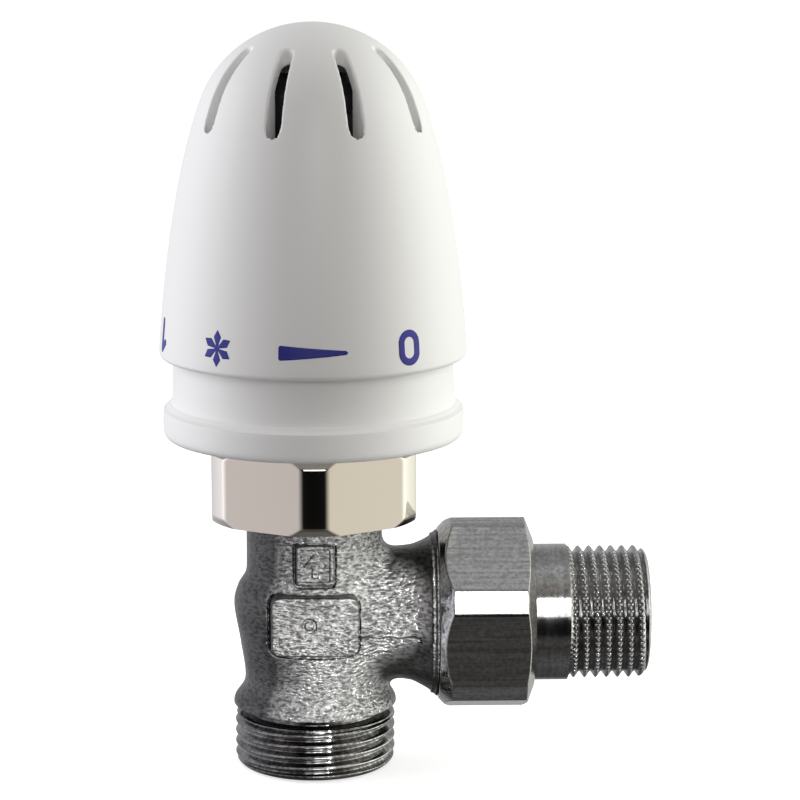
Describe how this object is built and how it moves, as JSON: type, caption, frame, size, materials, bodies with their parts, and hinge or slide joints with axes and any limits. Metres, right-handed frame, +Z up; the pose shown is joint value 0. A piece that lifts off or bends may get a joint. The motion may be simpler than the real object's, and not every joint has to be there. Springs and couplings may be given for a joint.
{
  "type": "thermostatic radiator valve",
  "caption": "Angle radiator valve with a domed thermostatic head: threaded inlet below, union nut and threaded tail to the side, captive head nut and a turning scale knob with air slots.",
  "frame": {"origin": "centre of the inlet face, on the axis of the inlet thread and of the head", "axes": "+Z up the axis of the head, +X out along the radiator tail, -Y the front of the head"},
  "size_m": [0.0796, 0.0498, 0.1219],
  "materials": {
    "cast_nickel": "nickel-plated cast brass with a fine orange-peel skin",
    "machined_nickel": "nickel-plated turned brass with fine turning marks",
    "polished_nickel": "polished nickel plate with a warm tint",
    "raw_brass": "turned, unplated",
    "stainless": "ground",
    "spring_steel": "drawn wire",
    "seal_rubber": "matt black",
    "white_plastic": "satin white moulding",
    "black_plastic": "matt black moulding",
    "natural_plastic": "natural acetal",
    "sensor_metal": "drawn aluminium can",
    "blue_print": "pad-printed ink"
  },
  "bodies": {
    "valve": {"valve_body": "cast_nickel", "insert_body": "raw_brass", "insert_oring": "seal_rubber", "spring_seat": "raw_brass", "gland_oring": "seal_rubber", "gland_nut": "raw_brass", "tailpiece": "machined_nickel", "head_base": "white_plastic", "nut_retaining_ring": "spring_steel", "index_mark": "blue_print", "return_spring": "spring_steel"},
    "stem": {"valve_stem": "stainless", "stem_collar": "spring_steel", "disc_holder": "raw_brass", "seat_washer": "seal_rubber", "disc_retainer": "raw_brass"},
    "thrust": {"push_pin": "natural_plastic", "cup_clip": "spring_steel", "overtravel_spring": "spring_steel", "thrust_cup": "stainless", "sensor_piston": "stainless"},
    "carriage": {"sensor_capsule": "sensor_metal", "sensor_cage": "black_plastic"},
    "knob": {"head_knob": "white_plastic", "scale_marks": "blue_print", "stop_ring": "natural_plastic", "cage_retaining_ring": "spring_steel"},
    "head_nut": {"head_nut": "polished_nickel"},
    "union_nut": {"union_nut": "machined_nickel"}
  },
  "joints": [
    {"name": "carriage_rise", "type": "slide", "parent": "valve", "child": "carriage", "axis": [0, 0, 1], "range_m": [-0.0039, 0.0016]},
    {"name": "knob_turn", "type": "hinge", "parent": "carriage", "child": "knob", "pos_m": [0, 0, 0.0683], "axis": [0, 0, 1], "range_deg": [-186.5, 74.6]},
    {"name": "stem_lift", "type": "slide", "parent": "valve", "child": "stem", "axis": [0, 0, 1], "range_m": [-0.0012, 0.0006], "stiffness_N_per_m": 3000, "deforming": ["return_spring"]},
    {"name": "push_pin_lift", "type": "slide", "parent": "valve", "child": "thrust", "axis": [0, 0, 1], "range_m": [-0.0012, 0.0006]},
    {"name": "head_nut_turn", "type": "hinge", "parent": "valve", "child": "head_nut", "pos_m": [0, 0, 0.048], "axis": [0, 0, 1], "continuous": true},
    {"name": "union_nut_turn", "type": "hinge", "parent": "valve", "child": "union_nut", "pos_m": [0.028, 0, 0.025], "axis": [1, 0, 0], "continuous": true}
  ],
  "couplings": [
    {"joint": "carriage_rise", "follows": "knob_turn", "m_per_rad": 0.0011937},
    {"joint": "push_pin_lift", "follows": "stem_lift", "ratio": 1}
  ]
}
